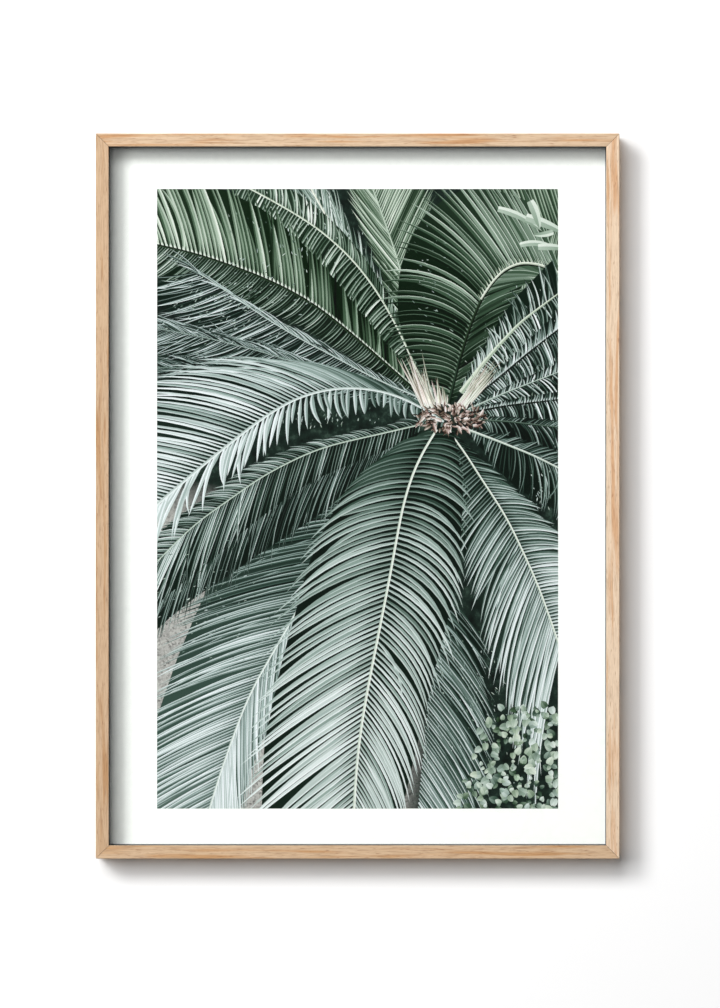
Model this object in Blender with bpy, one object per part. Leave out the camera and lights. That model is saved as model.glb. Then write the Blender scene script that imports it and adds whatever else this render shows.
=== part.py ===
"""A framed palm print: a 50 x 70 cm sheet in a slim oak box frame, built as its separate pieces.

The picture faces -Y and the wall is on the +Y side. Z is up and X runs to the right as the picture is
looked at. The origin is midway between the two hanging rings, level with the place where the wall hooks
bear in them, in the plane of the frame's back. Left and right are said from the front.
"""

import math

import bmesh
import bpy
from mathutils import Matrix, Vector

# ---------------------------------------------------------------- driving dimensions, in metres
SHEET_WIDTH = 0.500  # glazing, print and boards are all cut to this sheet
SHEET_HEIGHT = 0.700
FACE_WIDTH = 0.013  # width of the oak moulding, seen from the front
LIP_OVERLAP = 0.0035  # how far the front lip reaches in over the rebate
LIP_DEPTH = 0.004
FRAME_DEPTH = 0.026
SHEET_CLEARANCE = 0.0005  # between a sheet's edge and the rebate
ARRIS_RADIUS = 0.0006  # the sanded front edges of the moulding
GAP = 0.0003  # between pieces that touch
MITRE_TRIM = 0.0002  # taken off each mitred end for the glue line

GLAZING_THICKNESS = 0.002
SPACER_DEPTH = 0.0138
SPACER_WIDTH = 0.003
PRINT_THICKNESS = 0.00025
BACKING_THICKNESS = 0.003

HOOK_BELOW_TOP = 0.070  # from the frame's top edge down to where a wall hook bears
RING_SPACING = 0.300

BUTTON_LENGTH = 0.028
BUTTON_WIDTH = 0.009
BUTTON_THICKNESS = 0.001
BUTTON_TIP_RISE = 0.0012  # the tip is bent up so that a finger can get under it
SCREW_RADIUS = 0.0014
SCREW_LENGTH = 0.0085
SCREW_HEAD_RADIUS = 0.003
SCREW_HEAD_HEIGHT = 0.0019

RING_WIRE_RADIUS = 0.001
RING_WIDTH = 0.016  # between the centrelines of the ring's two legs
RING_LEG = 0.004  # the straight part of each leg, below the bow
RING_LEAN = math.radians(5)  # the ring leans back until it rests on the backing board
PLATE_WIDTH = 0.012
PLATE_LENGTH = 0.025  # from the ring's hinge axis down
PLATE_THICKNESS = 0.0016
KNUCKLE_RADIUS = 0.00205
KNUCKLE_BORE = 0.0013
RIVET_RADIUS = 0.0015
RIVET_HEAD_RADIUS = 0.0028
RIVET_HEAD_HEIGHT = 0.0011
RIVETS_BELOW_HINGE = (0.007, 0.019)

PAD_RADIUS = 0.004
PAD_THICKNESS = 0.0042
PAD_FROM_CORNER = 0.030

# ---------------------------------------------------------------- worked out from them
WALL_WIDTH = FACE_WIDTH - LIP_OVERLAP
OUTER_WIDTH = SHEET_WIDTH + 2 * (SHEET_CLEARANCE + WALL_WIDTH)
OUTER_HEIGHT = SHEET_HEIGHT + 2 * (SHEET_CLEARANCE + WALL_WIDTH)
TOP = HOOK_BELOW_TOP
CENTRE_Z = TOP - OUTER_HEIGHT / 2
FRONT = -FRAME_DEPTH
GLAZING_FRONT = FRONT + LIP_DEPTH + GAP
SPACER_FRONT = GLAZING_FRONT + GLAZING_THICKNESS + GAP
PRINT_FRONT = SPACER_FRONT + SPACER_DEPTH + GAP
FILLER_FRONT = PRINT_FRONT + PRINT_THICKNESS + GAP
FILLER_BACK = -BACKING_THICKNESS - GAP
RING_HEIGHT = RING_LEG + RING_WIDTH / 2
HINGE_Y = GAP + KNUCKLE_RADIUS
HINGE_Z = -(RING_HEIGHT - RING_WIRE_RADIUS) * math.cos(RING_LEAN)

# Where each rail's outer edge is centred, and how far it is turned about Y from the top rail's place
RAILS = {
    "top": ((0, 0, TOP), 0, OUTER_WIDTH),
    "right": ((OUTER_WIDTH / 2, 0, CENTRE_Z), 90, OUTER_HEIGHT),
    "bottom": ((0, 0, TOP - OUTER_HEIGHT), 180, OUTER_WIDTH),
    "left": ((-OUTER_WIDTH / 2, 0, CENTRE_Z), -90, OUTER_HEIGHT),
}
# The rail that carries each turn button, and how far along that rail from its middle it sits
BUTTONS = {
    "top": ("top", 0.0),
    "bottom": ("bottom", 0.0),
    "left_upper": ("left", 0.190),
    "left_lower": ("left", -0.190),
    "right_upper": ("right", -0.190),
    "right_lower": ("right", 0.190),
}
CORNERS = {
    "top_left": (-1, 1),
    "top_right": (1, 1),
    "bottom_left": (-1, -1),
    "bottom_right": (1, -1),
}
SIDES = {"left": -1, "right": 1}


# ---------------------------------------------------------------- shared modelling steps
def clear_scene():
    for old in list(bpy.data.objects):
        bpy.data.objects.remove(old)


def finish(name, red, green, blue, roughness, metallic=0.0, alpha=1.0):
    """A plain Principled material in linear colour."""
    material = bpy.data.materials.new(name)
    material.use_nodes = True
    shader = material.node_tree.nodes["Principled BSDF"]
    shader.inputs["Base Color"].default_value = (red, green, blue, 1)
    shader.inputs["Roughness"].default_value = roughness
    shader.inputs["Metallic"].default_value = metallic
    shader.inputs["Alpha"].default_value = alpha
    return material


def mesh_from(bm, name):
    bmesh.ops.recalc_face_normals(bm, faces=bm.faces)
    mesh = bpy.data.meshes.new(name)
    bm.to_mesh(mesh)
    bm.free()
    return mesh


def place(name, mesh, material, location=(0, 0, 0), turn=0.0, parent=None):
    """Adds an object that shows mesh, turned by turn degrees about Y."""
    piece = bpy.data.objects.new(name, mesh)
    piece.location = location
    piece.rotation_euler = (0, math.radians(turn), 0)
    piece.parent = parent
    bpy.context.scene.collection.objects.link(piece)
    if material:
        piece.data.materials.clear()
        piece.data.materials.append(material)
    return piece


def block(low, high):
    """A box between two corners."""
    low, high = Vector(low), Vector(high)
    bm = bmesh.new()
    size = Matrix.Diagonal((*(high - low), 1))
    bmesh.ops.create_cube(bm, size=1, matrix=Matrix.Translation((low + high) / 2) @ size)
    return bm


def prism(outline, near, far):
    """An outline of (x, z) points, extruded along Y from near to far."""
    bm = bmesh.new()
    face = bm.faces.new([bm.verts.new((x, near, z)) for x, z in outline])
    grown = bmesh.ops.extrude_face_region(bm, geom=[face])
    moved = [item for item in grown["geom"] if isinstance(item, bmesh.types.BMVert)]
    bmesh.ops.translate(bm, verts=moved, vec=(0, far - near, 0))
    return bm


def turned(profile, steps):
    """A solid of revolution about Y. profile runs along Y as (radius, y), and a radius of 0 is a pole."""
    bm = bmesh.new()
    rings = []
    for radius, y in profile:
        if radius == 0:
            rings.append([bm.verts.new((0, y, 0))])
            continue
        angles = [2 * math.pi * step / steps for step in range(steps)]
        rings.append([bm.verts.new((radius * math.cos(a), y, radius * math.sin(a))) for a in angles])
    for first, second in zip(rings, rings[1:]):
        for step in range(steps):
            after = (step + 1) % steps
            corners = [first[step % len(first)], first[after % len(first)]]
            corners += [second[after % len(second)], second[step % len(second)]]
            bm.faces.new(list(dict.fromkeys(corners)))
    return bm


def arc(centre, radius, start, end, steps):
    """Points on an arc from start to end degrees."""
    angles = [math.radians(start + (end - start) * step / steps) for step in range(steps + 1)]
    return [(centre[0] + radius * math.cos(a), centre[1] + radius * math.sin(a)) for a in angles]


def cutter(name, bm, location=(0, 0, 0), turn=0.0):
    """A helper that Booleans cut with. It isn't a piece of the object."""
    tool = place(name, mesh_from(bm, name), None, location, turn)
    tool.hide_render = True
    tool.display_type = "WIRE"
    return tool


def cut(piece, tool, operation="DIFFERENCE"):
    modifier = piece.modifiers.new("cut_" + tool.name, "BOOLEAN")
    modifier.operation = operation
    modifier.object = tool


def settled_mesh(piece):
    """The mesh that piece's modifiers give, for copies to share. piece itself is removed."""
    graph = bpy.context.evaluated_depsgraph_get()
    mesh = bpy.data.meshes.new_from_object(piece.evaluated_get(graph))
    bpy.data.objects.remove(piece)
    return mesh


def on_rail(side, along, inwards):
    """A point in the frame's back plane, along a rail from its middle and in from its outer edge."""
    centre, turn, _ = RAILS[side]
    offset = Matrix.Rotation(math.radians(turn), 3, "Y") @ Vector((along, 0, -inwards))
    return Vector(centre) + offset


# ---------------------------------------------------------------- oak moulding
def rail_profile():
    """The moulding's section as (distance in from the outer edge, depth behind the front)."""
    r = ARRIS_RADIUS
    outer_arris = arc((r, r), r, 180, 270, 3)
    inner_arris = arc((FACE_WIDTH - r, r), r, 270, 360, 3)
    rebate = [(FACE_WIDTH, LIP_DEPTH), (WALL_WIDTH, LIP_DEPTH), (WALL_WIDTH, FRAME_DEPTH)]
    return outer_arris + inner_arris + rebate + [(0, FRAME_DEPTH)]


def rail_mesh(name, length):
    """A length of moulding with both ends mitred, its outer edge on X and its rebate towards -Z."""
    bm = bmesh.new()
    ends = []
    for way in (-1, 1):
        reach = length / 2 - MITRE_TRIM
        ring = [bm.verts.new((way * (reach - inwards), FRONT + depth, -inwards))
                for inwards, depth in rail_profile()]
        bm.faces.new(ring)
        ends.append(ring)
    count = len(ends[0])
    for i in range(count):
        after = (i + 1) % count
        bm.faces.new((ends[0][i], ends[0][after], ends[1][after], ends[1][i]))
    return mesh_from(bm, name)


# ---------------------------------------------------------------- corner wedges
WEDGE_LEG = 0.0042
WEDGE_THICKNESS = 0.0005
WEDGE_HEIGHT = 0.010
WEDGE_APEX = 0.0068  # in from both outer edges
WEDGE_SUNK = 0.0004  # below the back of the frame


def wedge_outline(corner, margin):
    """The V of a pressed corner nail, one leg in each rail, grown by margin on every side."""
    x_way, z_way = CORNERS[corner]
    inner, outer = WEDGE_APEX + margin, WEDGE_APEX - WEDGE_THICKNESS - margin
    tip = WEDGE_APEX - WEDGE_LEG - margin
    legs = [(inner, inner), (tip, inner), (tip, outer), (outer, outer), (outer, tip), (inner, tip)]
    corner_z = TOP if z_way > 0 else TOP - OUTER_HEIGHT
    return [(x_way * (OUTER_WIDTH / 2 - a), corner_z - z_way * b) for a, b in legs]


def build_frame(oak, steel):
    rails = {}
    for side, (centre, turn, length) in RAILS.items():
        name = "rail_" + side
        rails[side] = place(name, rail_mesh(name, length), oak, centre, turn)
    for corner in CORNERS:
        body = prism(wedge_outline(corner, 0), -WEDGE_SUNK - WEDGE_HEIGHT, -WEDGE_SUNK)
        place("corner_wedge_" + corner, mesh_from(body, "corner_wedge"), steel)
        slot = prism(wedge_outline(corner, GAP), -WEDGE_SUNK - WEDGE_HEIGHT - GAP, GAP)
        tool = cutter("wedge_slot_" + corner, slot)
        for side in corner.split("_"):
            cut(rails[side], tool)
    for place_name, (side, along) in BUTTONS.items():
        depth = SCREW_LENGTH + GAP
        hole = turned([(0, -depth), (SCREW_RADIUS + GAP, -depth), (SCREW_RADIUS + GAP, GAP), (0, GAP)], 16)
        tool = cutter("pilot_hole_" + place_name, hole, on_rail(side, along, WALL_WIDTH / 2))
        cut(rails[side], tool)


# ---------------------------------------------------------------- the layers in the rebate
def sheet(name, front, back, material):
    """A flat sheet of the frame's sheet size."""
    x, z = SHEET_WIDTH / 2, SHEET_HEIGHT / 2
    body = block((-x, front, CENTRE_Z - z), (x, back, CENTRE_Z + z))
    return place(name, mesh_from(body, name), material)


def build_spacers(material):
    """Four slips behind the glazing that hold it off the print, hidden by the front lip."""
    x, z = SHEET_WIDTH / 2, SHEET_HEIGHT / 2
    back = SPACER_FRONT + SPACER_DEPTH
    for name, way in (("spacer_top", 1), ("spacer_bottom", -1)):
        edges = sorted((CENTRE_Z + way * z, CENTRE_Z + way * (z - SPACER_WIDTH)))
        body = block((-x, SPACER_FRONT, edges[0]), (x, back, edges[1]))
        place(name, mesh_from(body, name), material)
    reach = z - SPACER_WIDTH - GAP
    for name, way in (("spacer_left", -1), ("spacer_right", 1)):
        edges = sorted((way * x, way * (x - SPACER_WIDTH)))
        body = block((edges[0], SPACER_FRONT, CENTRE_Z - reach), (edges[1], back, CENTRE_Z + reach))
        place(name, mesh_from(body, name), material)


def build_backing(material):
    board = sheet("backing_board", -BACKING_THICKNESS, 0, material)
    for side, way in SIDES.items():
        for index, below in enumerate(RIVETS_BELOW_HINGE):
            hole_radius = RIVET_RADIUS + GAP
            ends = (-BACKING_THICKNESS - GAP, GAP)
            hole = turned([(0, ends[0]), (hole_radius, ends[0]), (hole_radius, ends[1]), (0, ends[1])], 16)
            spot = (way * RING_SPACING / 2, 0, HINGE_Z - below)
            cut(board, cutter(f"rivet_hole_{side}_{index}", hole, spot))


# ---------------------------------------------------------------- turn buttons and their screws
def screw_mesh():
    """A pan-head wood screw along Y, its head's underside at y = 0, with a cross recess."""
    head, shank = SCREW_HEAD_RADIUS, SCREW_RADIUS
    point = -SCREW_LENGTH - BUTTON_THICKNESS - 2 * GAP
    tip_start = point + 0.003
    dome = [(head * math.cos(a), SCREW_HEAD_HEIGHT * (0.35 + 0.65 * math.sin(a)))
            for a in (math.radians(step) for step in (0, 25, 50, 72))]
    profile = [(0, point), (shank * 0.25, point + GAP), (shank, tip_start), (shank, 0), (head, 0)]
    body = turned(profile + dome + [(0, SCREW_HEAD_HEIGHT)], 20)
    screw = place("screw_pattern", mesh_from(body, "screw_pattern"), None)
    arm, half = 0.0019, 0.00035
    cross = [(half, half), (half, arm), (-half, arm), (-half, half), (-arm, half), (-arm, -half),
             (-half, -half), (-half, -arm), (half, -arm), (half, -half), (arm, -half), (arm, half)]
    tool = cutter("cross_recess", prism(cross, SCREW_HEAD_HEIGHT * 0.35, SCREW_HEAD_HEIGHT * 2))
    cut(screw, tool)
    mesh = settled_mesh(screw)
    bpy.data.objects.remove(tool)
    return mesh


def button_mesh():
    """A steel strip with round ends, its pivot hole at the origin and its tongue towards -Z."""
    pivot_end = BUTTON_WIDTH / 2
    far_end = pivot_end - BUTTON_LENGTH
    bend = far_end * 0.62
    rise = BUTTON_TIP_RISE
    lower = [(pivot_end, 0), (bend, 0), (far_end * 0.82, rise * 0.45), (far_end, rise)]
    section = lower + [(z, y + BUTTON_THICKNESS) for z, y in reversed(lower)]
    bm = bmesh.new()
    face = bm.faces.new([bm.verts.new((-BUTTON_WIDTH / 2, GAP + y, z)) for z, y in section])
    grown = bmesh.ops.extrude_face_region(bm, geom=[face])
    moved = [item for item in grown["geom"] if isinstance(item, bmesh.types.BMVert)]
    bmesh.ops.translate(bm, verts=moved, vec=(BUTTON_WIDTH, 0, 0))
    strip = place("button_pattern", mesh_from(bm, "button_pattern"), None)

    radius = BUTTON_WIDTH / 2 - 0.00005
    rounded = arc((0, 0), radius, 0, 180, 12) + arc((0, far_end + pivot_end), radius, 180, 360, 12)
    outline = cutter("button_outline", prism(rounded, -0.002, 0.006))
    cut(strip, outline, "INTERSECT")
    bore = SCREW_RADIUS + GAP
    hole = cutter("button_hole", turned([(0, -0.001), (bore, -0.001), (bore, 0.004), (0, 0.004)], 20))
    cut(strip, hole)
    mesh = settled_mesh(strip)
    for tool in (outline, hole):
        bpy.data.objects.remove(tool)
    return mesh


def build_buttons(steel):
    strip, screw = button_mesh(), screw_mesh()
    for name, (side, along) in BUTTONS.items():
        pivot = on_rail(side, along, WALL_WIDTH / 2)
        turn = RAILS[side][1]
        place("turn_button_" + name, strip, steel, pivot, turn)
        seat = pivot + Vector((0, 2 * GAP + BUTTON_THICKNESS, 0))
        place("button_screw_" + name, screw, steel, seat, turn)


# ---------------------------------------------------------------- hanging rings on riveted plates
def plate_mesh():
    """A folded strap: a flat plate below the hinge axis, and a knuckle round that axis."""
    half = PLATE_WIDTH / 2
    corner = 0.003
    low = -PLATE_LENGTH
    outline = [(-half, 0), (half, 0)]
    outline += arc((half - corner, low + corner), corner, 0, -90, 6)
    outline += arc((-half + corner, low + corner), corner, -90, -180, 6)
    base = -KNUCKLE_RADIUS
    plate = place("plate_pattern", mesh_from(prism(outline, base, base + PLATE_THICKNESS), "plate"), None)

    across = Matrix.Rotation(math.radians(90), 4, "Y")
    tools = []
    for name, radius, length, operation in (
        ("knuckle", KNUCKLE_RADIUS, PLATE_WIDTH, "UNION"),
        ("knuckle_bore", KNUCKLE_BORE, PLATE_WIDTH + 0.002, "DIFFERENCE"),
    ):
        bm = bmesh.new()
        bmesh.ops.create_cone(bm, cap_ends=True, segments=24, radius1=radius, radius2=radius,
                              depth=length, matrix=across)
        tools.append(cutter(name, bm))
        cut(plate, tools[-1], operation)
    for index, below in enumerate(RIVETS_BELOW_HINGE):
        bore = RIVET_RADIUS + GAP
        hole = turned([(0, -0.004), (bore, -0.004), (bore, 0.004), (0, 0.004)], 20)
        tools.append(cutter(f"plate_hole_{index}", hole, (0, 0, -below)))
        cut(plate, tools[-1])
    mesh = settled_mesh(plate)
    for tool in tools:
        bpy.data.objects.remove(tool)
    return mesh


def rivet_mesh():
    """A domed rivet along Y, its head's underside at y = 0 and its tail flush inside the board."""
    tail = -(PLATE_THICKNESS + 2 * GAP + BACKING_THICKNESS)
    head = [(RIVET_HEAD_RADIUS * math.cos(a), RIVET_HEAD_HEIGHT * math.sin(a))
            for a in (math.radians(step) for step in (0, 22, 44, 66))]
    profile = [(0, tail), (RIVET_RADIUS, tail), (RIVET_RADIUS, 0)]
    return mesh_from(turned(profile + head + [(0, RIVET_HEAD_HEIGHT)], 20), "rivet")


def ring_curve():
    """The D-shaped wire ring, its straight bar on X through the origin and its bow towards +Z."""
    half = RING_WIDTH / 2
    corner = 0.002
    outline = arc((half - corner, corner), corner, -90, 0, 4)
    outline += arc((0, RING_LEG), half, 0, 180, 20)
    outline += arc((-half + corner, corner), corner, 180, 270, 4)
    curve = bpy.data.curves.new("hanging_ring", "CURVE")
    curve.dimensions = "3D"
    curve.bevel_depth = RING_WIRE_RADIUS
    curve.bevel_resolution = 2
    wire = curve.splines.new("POLY")
    wire.points.add(len(outline) - 1)
    wire.use_cyclic_u = True
    for point, (x, z) in zip(wire.points, outline):
        point.co = (x, 0, z, 1)
    return curve


def build_hangers(steel):
    plate, rivet, ring = plate_mesh(), rivet_mesh(), ring_curve()
    for side, way in SIDES.items():
        hinge = Vector((way * RING_SPACING / 2, HINGE_Y, HINGE_Z))
        place("hanger_plate_" + side, plate, steel, hinge)
        for level, below in zip(("upper", "lower"), RIVETS_BELOW_HINGE):
            seat = hinge + Vector((0, -KNUCKLE_RADIUS + PLATE_THICKNESS + GAP, -below))
            place(f"rivet_{side}_{level}", rivet, steel, seat)
        wire = place("hanging_ring_" + side, ring, steel, hinge)
        wire.rotation_euler = (RING_LEAN, 0, 0)


# ---------------------------------------------------------------- wall pads
def build_pads(rubber):
    """Two rubber pads near the bottom corners that keep the frame parallel to the wall."""
    soft_edge = 0.0006
    profile = [(0, 0), (PAD_RADIUS, 0), (PAD_RADIUS, PAD_THICKNESS - soft_edge),
               (PAD_RADIUS - soft_edge, PAD_THICKNESS), (0, PAD_THICKNESS)]
    pad = mesh_from(turned(profile, 28), "wall_pad")
    for side, way in SIDES.items():
        along = way * -(OUTER_WIDTH / 2 - PAD_FROM_CORNER)
        spot = on_rail("bottom", along, WALL_WIDTH / 2)
        place("wall_pad_" + side, pad, rubber, spot + Vector((0, GAP, 0)))


def build():
    clear_scene()
    oak = finish("oak", 0.60, 0.39, 0.22, 0.55)
    acrylic = finish("clear_acrylic", 0.95, 0.97, 0.97, 0.05, alpha=0.15)
    paper = finish("print_paper", 0.88, 0.88, 0.87, 0.85)
    slip = finish("dark_slip", 0.06, 0.06, 0.06, 0.7)
    card = finish("grey_card", 0.42, 0.36, 0.28, 0.9)
    hardboard = finish("hardboard", 0.24, 0.14, 0.07, 0.7)
    steel = finish("zinc_steel", 0.60, 0.60, 0.58, 0.35, metallic=1.0)
    rubber = finish("rubber", 0.03, 0.03, 0.03, 0.8)

    build_frame(oak, steel)
    sheet("glazing", GLAZING_FRONT, GLAZING_FRONT + GLAZING_THICKNESS, acrylic)
    build_spacers(slip)
    sheet("print_sheet", PRINT_FRONT, PRINT_FRONT + PRINT_THICKNESS, paper)
    sheet("filler_board", FILLER_FRONT, FILLER_BACK, card)
    build_backing(hardboard)
    build_buttons(steel)
    build_hangers(steel)
    build_pads(rubber)


build()
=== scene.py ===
"""The looks of a framed palm print: oiled oak frame, clear glazing, the printed sheet and the fixings."""

import math
import random

import bmesh
import bpy
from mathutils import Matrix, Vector


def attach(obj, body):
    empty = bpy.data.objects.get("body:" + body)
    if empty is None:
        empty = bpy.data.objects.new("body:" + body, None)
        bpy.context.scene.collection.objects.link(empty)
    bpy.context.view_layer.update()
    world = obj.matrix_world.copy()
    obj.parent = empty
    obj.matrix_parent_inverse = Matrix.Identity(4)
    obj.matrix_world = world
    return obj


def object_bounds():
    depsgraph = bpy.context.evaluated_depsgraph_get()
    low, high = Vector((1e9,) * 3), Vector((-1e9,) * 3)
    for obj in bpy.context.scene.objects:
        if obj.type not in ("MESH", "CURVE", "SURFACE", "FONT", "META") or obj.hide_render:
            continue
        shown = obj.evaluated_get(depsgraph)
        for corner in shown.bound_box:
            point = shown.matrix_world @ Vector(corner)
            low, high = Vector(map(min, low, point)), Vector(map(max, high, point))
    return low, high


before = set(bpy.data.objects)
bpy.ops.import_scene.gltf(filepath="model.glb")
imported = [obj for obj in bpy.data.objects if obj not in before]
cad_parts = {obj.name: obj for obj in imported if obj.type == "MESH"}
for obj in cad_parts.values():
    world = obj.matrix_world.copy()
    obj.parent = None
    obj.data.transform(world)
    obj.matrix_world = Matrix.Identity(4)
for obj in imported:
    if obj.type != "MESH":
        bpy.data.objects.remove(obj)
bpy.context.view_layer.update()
bpy.ops.object.select_all(action="DESELECT")

# ------------------------------------------------------------------ oak rails
# Four lengths of light oak moulding, mitred at the corners, fine-sanded and finished with a matt clear
# oil. The grain runs along each rail. Each rail is given a tone of its own: the right one palest, the top
# and bottom ones in between, and the left one darkest.


def colour(text):
    """An sRGB hex colour as linear RGBA."""
    channels = [int(text[i:i + 2], 16) / 255 for i in (1, 3, 5)]
    linear = [c / 12.92 if c <= 0.04045 else ((c + 0.055) / 1.055) ** 2.4 for c in channels]
    return (*linear, 1)


def new_material(name):
    """A node material with nothing in it yet."""
    material = bpy.data.materials.new(name)
    material.use_nodes = True
    material.node_tree.nodes.clear()
    return material


def add(material, kind, settings=None, sockets=None):
    """Adds one node. settings are its own properties; sockets take a value, or an output to link."""
    tree = material.node_tree
    node = tree.nodes.new("ShaderNode" + kind)
    for name, value in (settings or {}).items():
        setattr(node, name, value)
    for key, value in (sockets or {}).items():
        if isinstance(value, bpy.types.NodeSocket):
            tree.links.new(value, node.inputs[key])
        else:
            node.inputs[key].default_value = value
    return node


def set_stops(ramp, *stops):
    """Gives a Color Ramp node its stops, each (place, hex colour), and returns its colour output."""
    elements = ramp.color_ramp.elements
    while len(elements) < len(stops):
        elements.new(0.5)
    for element, (place, text) in zip(elements, stops):
        element.position = place
        element.color = colour(text)
    return ramp.outputs["Color"]


def dress(node, material):
    """Gives a frame node its finish in place of the plain packed one."""
    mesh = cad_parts[node].data
    mesh.materials.clear()
    mesh.materials.append(material)


def oak(name, along_x, early, late, offset):
    """Sanded, oiled oak: straight bands of growth, fine fibres and short dark pores, all along the rail.
    early and late are the tones of a year's growth, and offset is the length's place in the board."""
    wood = new_material(name)
    place = add(wood, "TexCoord").outputs["Object"]
    # Across the grain a band is about 4 mm wide, a fibre 1 mm and a pore 0.5 mm, which is as fine as shows.
    # Along it they are 22 times longer, and the pores 14 times.
    stretched = (1, 22, 22) if along_x else (22, 22, 1)
    grain = add(wood, "Mapping", {}, {"Vector": place, "Location": offset, "Scale": stretched})
    bands = add(wood, "TexNoise", {}, {
        "Vector": grain.outputs[0], "Scale": 11, "Detail": 2, "Roughness": 0.5, "Distortion": 0.15})
    band_tone = add(wood, "ValToRGB", {}, {"Fac": bands.outputs["Fac"]})
    tone = set_stops(band_tone, (0.34, late), (0.50, early), (0.72, early))
    fibres = add(wood, "TexNoise", {}, {
        "Vector": grain.outputs[0], "Scale": 46, "Detail": 4, "Roughness": 0.62})
    fibre_tone = add(wood, "ValToRGB", {}, {"Fac": fibres.outputs["Fac"]})
    fibre_mask = set_stops(fibre_tone, (0.36, "#C9BDB4"), (0.50, "#F4F0EC"), (0.66, "#FFFFFF"))
    mixed = add(wood, "Mix", {"data_type": "RGBA", "blend_type": "MULTIPLY"}, {
        "Factor": 0.65, 6: tone, 7: fibre_mask})
    pore_place = add(wood, "Mapping", {}, {
        "Vector": place, "Location": offset, "Scale": (1, 14, 14) if along_x else (14, 14, 1)})
    pores = add(wood, "TexNoise", {}, {
        "Vector": pore_place.outputs[0], "Scale": 130, "Detail": 1, "Roughness": 0.4})
    pore_tone = add(wood, "ValToRGB", {}, {"Fac": pores.outputs["Fac"]})
    pore_mask = set_stops(pore_tone, (0.27, "#A67F63"), (0.36, "#FFFFFF"))
    finished = add(wood, "Mix", {"data_type": "RGBA", "blend_type": "MULTIPLY"}, {
        "Factor": 0.55, 6: mixed.outputs[2], 7: pore_mask})
    rough = add(wood, "MapRange", {}, {"Value": fibres.outputs["Fac"], "To Min": 0.62, "To Max": 0.48})
    bump = add(wood, "Bump", {}, {"Strength": 0.25, "Distance": 0.0002, "Height": fibres.outputs["Fac"]})
    shader = add(wood, "BsdfPrincipled", {}, {
        "Base Color": finished.outputs[2], "Roughness": rough.outputs[0], "Normal": bump.outputs[0],
        "IOR": 1.48})
    add(wood, "OutputMaterial", {}, {"Surface": shader.outputs[0]})
    return wood


dress("rail_top", oak("oak_top", True, "#C9B094", "#BC936C", (0.31, 0.02, 0.11)))
dress("rail_bottom", oak("oak_bottom", True, "#C4A98B", "#B68F67", (0.74, 0.09, 0.43)))
dress("rail_left", oak("oak_left", False, "#BEA386", "#AF8B67", (0.05, 0.27, 0.62)))
dress("rail_right", oak("oak_right", False, "#DAC4AB", "#CAA380", (0.48, 0.55, 0.17)))

# ------------------------------------------------------------------ spacer slips
# Thin extruded slips of dark grey polystyrene that stand inside the rebate and hold the glazing off the
# print. Matt with a fine orange-peel grain, so they don't show in the shade of the lip. The grain is drawn
# 1.4 mm wide, which is as fine as shows.

slip = new_material("extruded_dark_polystyrene")
place = add(slip, "TexCoord").outputs["Object"]
peel = add(slip, "TexNoise", {}, {"Vector": place, "Scale": 700, "Detail": 2, "Roughness": 0.5})
peel_tone = add(slip, "ValToRGB", {}, {"Fac": peel.outputs["Fac"]})
dark = set_stops(peel_tone, (0.3, "#2B2B2C"), (0.7, "#373738"))
grain = add(slip, "Bump", {}, {"Strength": 0.15, "Distance": 0.0001, "Height": peel.outputs["Fac"]})
shader = add(slip, "BsdfPrincipled", {}, {
    "Base Color": dark, "Roughness": 0.6, "Normal": grain.outputs[0], "IOR": 1.59})
add(slip, "OutputMaterial", {}, {"Surface": shader.outputs[0]})
for side in ("top", "bottom", "left", "right"):
    dress("spacer_" + side, slip)

# ------------------------------------------------------------------ glazing
# A sheet of cast acrylic, clear and polished, with the very faint haze of having been wiped, in streaks
# some 70 mm wide. It lets the light straight through, and only its outer face mirrors, as much as its
# refractive index gives.

acrylic = new_material("clear_cast_acrylic")
place = add(acrylic, "TexCoord").outputs["Object"]
wiped = add(acrylic, "TexNoise", {}, {"Vector": place, "Scale": 14, "Detail": 3, "Distortion": 0.6})
haze = add(acrylic, "MapRange", {}, {"Value": wiped.outputs["Fac"], "To Min": 0.03, "To Max": 0.08})
clear = add(acrylic, "BsdfTransparent", {}, {"Color": colour("#FCFDFC")})
gloss = add(acrylic, "BsdfGlossy", {}, {"Roughness": haze.outputs[0]})
mirror = add(acrylic, "Fresnel", {}, {"IOR": 1.49})
inside = add(acrylic, "NewGeometry").outputs["Backfacing"]
outer = add(acrylic, "Math", {"operation": "SUBTRACT", "use_clamp": True}, {
    0: mirror.outputs[0], 1: inside})
sheet = add(acrylic, "MixShader", {}, {0: outer.outputs[0], 1: clear.outputs[0], 2: gloss.outputs[0]})
add(acrylic, "OutputMaterial", {}, {"Surface": sheet.outputs[0]})
dress("glazing", acrylic)

# ------------------------------------------------------------------ printed sheet
# Matt coated art paper, 500 x 700 mm, bright white with the slight cloudiness of its fibres, in patches
# of about 6 mm. Its border stays bare around the image.

paper = new_material("matt_coated_paper")
place = add(paper, "TexCoord").outputs["Object"]
cloud = add(paper, "TexNoise", {}, {"Vector": place, "Scale": 160, "Detail": 4, "Roughness": 0.6})
cloud_tone = add(paper, "ValToRGB", {}, {"Fac": cloud.outputs["Fac"]})
white = set_stops(cloud_tone, (0.3, "#F6F6F5"), (0.7, "#FBFBFA"))
tooth = add(paper, "Bump", {}, {"Strength": 0.1, "Distance": 0.00005, "Height": cloud.outputs["Fac"]})
shader = add(paper, "BsdfPrincipled", {}, {
    "Base Color": white, "Roughness": 0.75, "Normal": tooth.outputs[0], "IOR": 1.45})
add(paper, "OutputMaterial", {}, {"Surface": shader.outputs[0]})
dress("print_sheet", paper)

# ------------------------------------------------------------------ image, its background
# The printed image lies in the middle of the sheet. Its lowest layer of pigment ink is the deep green shade
# between the fronds, mottled like leaves of about 11 mm, with grey gravel low on the left and in the middle.

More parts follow.
